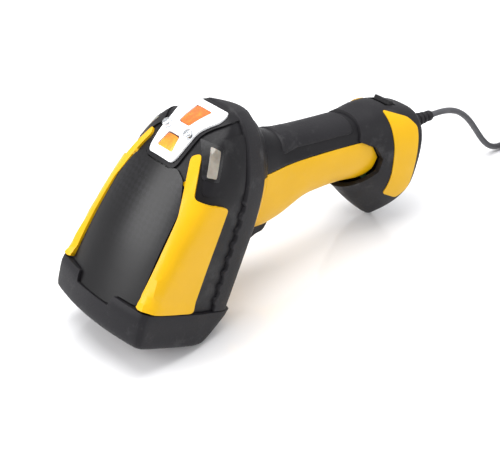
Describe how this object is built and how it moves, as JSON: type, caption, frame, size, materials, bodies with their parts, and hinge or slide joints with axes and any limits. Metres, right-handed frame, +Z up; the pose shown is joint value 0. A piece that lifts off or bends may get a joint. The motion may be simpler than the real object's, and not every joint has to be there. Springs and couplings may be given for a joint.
{
  "type": "handheld barcode scanner",
  "caption": "Corded pistol-grip barcode scanner with a rubber nose boot, yellow bumpers, a signal lamp, a sprung trigger and a flared rubber foot.",
  "frame": {"origin": "on the floor under the middle of the scanner's outline, the strain relief counted and the lead left out", "axes": "+Z up, +X towards the nose, +Y to the scanner's left side; the scanner lies on its nose rim and the toe of its foot"},
  "size_m": [0.3968, 0.1086, 0.1189],
  "materials": {
    "yellow_casing": "satin moulded",
    "black_casing": "fine satin",
    "rubber": "fine matt",
    "label_black": "semi-gloss",
    "white_plastic": "gloss",
    "amber_lens": "clear tinted",
    "smoke_lens": "translucent",
    "bright_screw": "polished",
    "steel": "plain",
    "window_glass": "polished",
    "circuit_board": "lacquered",
    "cable_jacket": "fine matt"
  },
  "bodies": {
    "scanner": {"head_casing": "black_casing", "lower_casing": "yellow_casing", "label_plate": "label_black", "side_bumper_left": "yellow_casing", "side_bumper_right": "yellow_casing", "side_cover_left": "label_black", "side_cover_right": "label_black", "side_lens_left": "smoke_lens", "side_lens_right": "smoke_lens", "side_strip_left": "rubber", "side_strip_right": "rubber", "nose_boot": "rubber", "window_frame": "black_casing", "scan_window": "window_glass", "lamp_frame": "black_casing", "lamp_bezel": "white_plastic", "lamp_lens_front": "amber_lens", "lamp_lens_rear": "amber_lens", "bezel_screw_left": "bright_screw", "bezel_screw_right": "bright_screw", "imager_block": "black_casing", "imager_lens_barrel": "black_casing", "illumination_board": "circuit_board", "illumination_lens_left": "white_plastic", "illumination_lens_right": "white_plastic", "main_board": "circuit_board", "sounder": "black_casing", "lamp_board": "circuit_board", "connector_board": "circuit_board", "cable_connector": "white_plastic", "trigger_hinge_pin": "steel", "trigger_spring": "steel", "switch_bracket": "black_casing", "switch_body": "black_casing", "handle_back_shell": "black_casing", "grip_pad": "rubber", "foot_boot": "rubber", "foot_insert_left": "yellow_casing", "foot_insert_right": "yellow_casing", "lanyard_bar": "black_casing", "sole_plate": "black_casing", "sole_screw_1": "steel", "sole_screw_2": "steel", "sole_screw_3": "steel", "cable_gland": "rubber", "cable": "cable_jacket", "cable_coil": "cable_jacket", "cable_tail": "cable_jacket", "usb_plug_body": "black_casing", "usb_plug_shell": "steel"},
    "trigger": {"trigger": "rubber"},
    "switch_plunger": {"switch_plunger": "white_plastic"}
  },
  "joints": [
    {"name": "trigger_pull", "type": "hinge", "parent": "scanner", "child": "trigger", "pos_m": [0.02936, 0, 0.05014], "axis": [0, 1, 0], "range_deg": [0, 6.8], "stiffness_Nm_per_rad": 0.25, "springref_deg": -4.58, "deforming": ["trigger_spring"]},
    {"name": "switch_press", "type": "slide", "parent": "scanner", "child": "switch_plunger", "axis": [-0.4239, 0, 0.9057], "range_m": [0, 0.0013]}
  ],
  "couplings": [
    {"joint": "switch_press", "follows": "trigger_pull", "m_per_rad": 0.0105}
  ]
}
